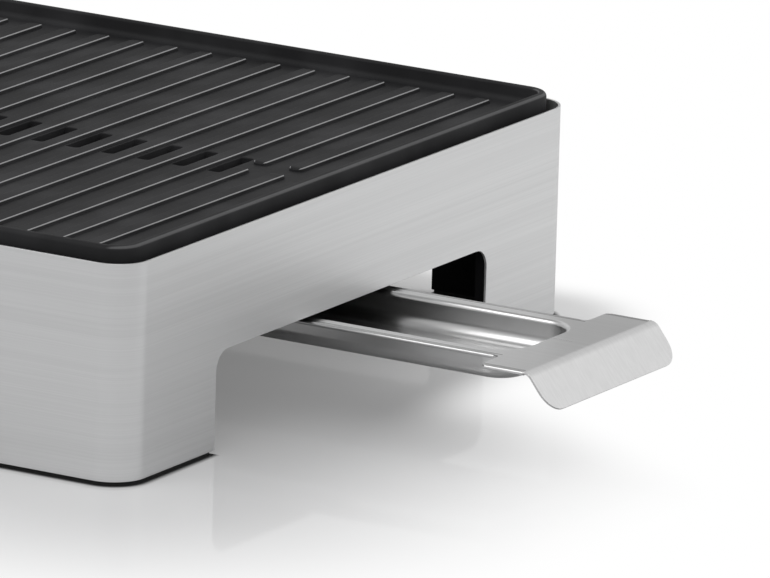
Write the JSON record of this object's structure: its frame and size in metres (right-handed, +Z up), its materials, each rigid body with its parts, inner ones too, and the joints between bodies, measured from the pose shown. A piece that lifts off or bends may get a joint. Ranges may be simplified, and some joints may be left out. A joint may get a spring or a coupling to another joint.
{
  "type": "electric table grill",
  "caption": "Open electric table grill: brushed steel housing on corner legs, ribbed cast plate with drain slots that lifts off, and a drip tray that slides out of one end.",
  "frame": {"origin": "on the table, under the middle of the whole grill's box with the tray pulled out as in the picture", "axes": "+X along the long side towards the end that the drip tray comes out of, -Y towards the side with the control knob, +Z up"},
  "size_m": [0.6504, 0.351, 0.0916],
  "materials": {
    "brushed_steel": "brushed along the length, satin",
    "tray_steel": "satin",
    "nonstick": "cast, black non-stick coating, satin",
    "black_moulding": "fine grained black moulding",
    "foot_rubber": "matte black",
    "bright_sheet": "aluminised sheet",
    "element_sheath": "oxidised sheath",
    "plated_steel": "zinc plated",
    "ceramic": "unglazed",
    "control_plastic": "satin black",
    "pale_plastic": "pale moulding",
    "lens_plastic": "translucent, gloss",
    "lead_sleeve": "silicone sleeve"
  },
  "bodies": {
    "grill": {"housing_band": "brushed_steel", "base_frame": "black_moulding", "reflector_pan": "bright_sheet", "drip_chute": "bright_sheet", "heating_element": "element_sheath", "element_beads": "ceramic", "element_blades": "plated_steel", "element_cradles": "bright_sheet", "tray_rail_left": "bright_sheet", "tray_rail_right": "bright_sheet", "thermostat": "pale_plastic", "thermostat_nut": "plated_steel", "indicator_lens": "lens_plastic", "lamp_holder": "pale_plastic", "thermal_fuse": "plated_steel", "fuse_clamp": "bright_sheet", "terminal_block": "pale_plastic", "cord_gland": "control_plastic", "gland_nut": "control_plastic", "supply_leads": "lead_sleeve", "switched_lead": "lead_sleeve", "support_screws": "plated_steel", "leg_screws": "plated_steel", "rail_screws": "plated_steel", "leg_lining_back_left": "black_moulding", "foot_strip_back_left": "foot_rubber", "plate_support_back_left": "plated_steel", "leg_lining_back_right": "black_moulding", "foot_strip_back_right": "foot_rubber", "plate_support_back_right": "plated_steel", "leg_lining_front_left": "black_moulding", "foot_strip_front_left": "foot_rubber", "plate_support_front_left": "plated_steel", "leg_lining_front_right": "black_moulding", "foot_strip_front_right": "foot_rubber", "plate_support_front_right": "plated_steel"},
    "plate": {"grill_plate": "nonstick"},
    "tray": {"drip_tray": "tray_steel"},
    "knob": {"control_knob": "control_plastic", "thermostat_spindle": "plated_steel"}
  },
  "joints": [
    {"name": "tray_slide", "type": "slide", "parent": "grill", "child": "tray", "axis": [1, 0, 0], "range_m": [-0.098, 0.35]},
    {"name": "plate_lift", "type": "slide", "parent": "grill", "child": "plate", "axis": [0, 0, 1], "range_m": [0, 0.08]},
    {"name": "knob_turn", "type": "hinge", "parent": "grill", "child": "knob", "pos_m": [-0.05868, -0.1585, 0.061], "axis": [0, 1, 0], "range_deg": [0, 270]}
  ]
}
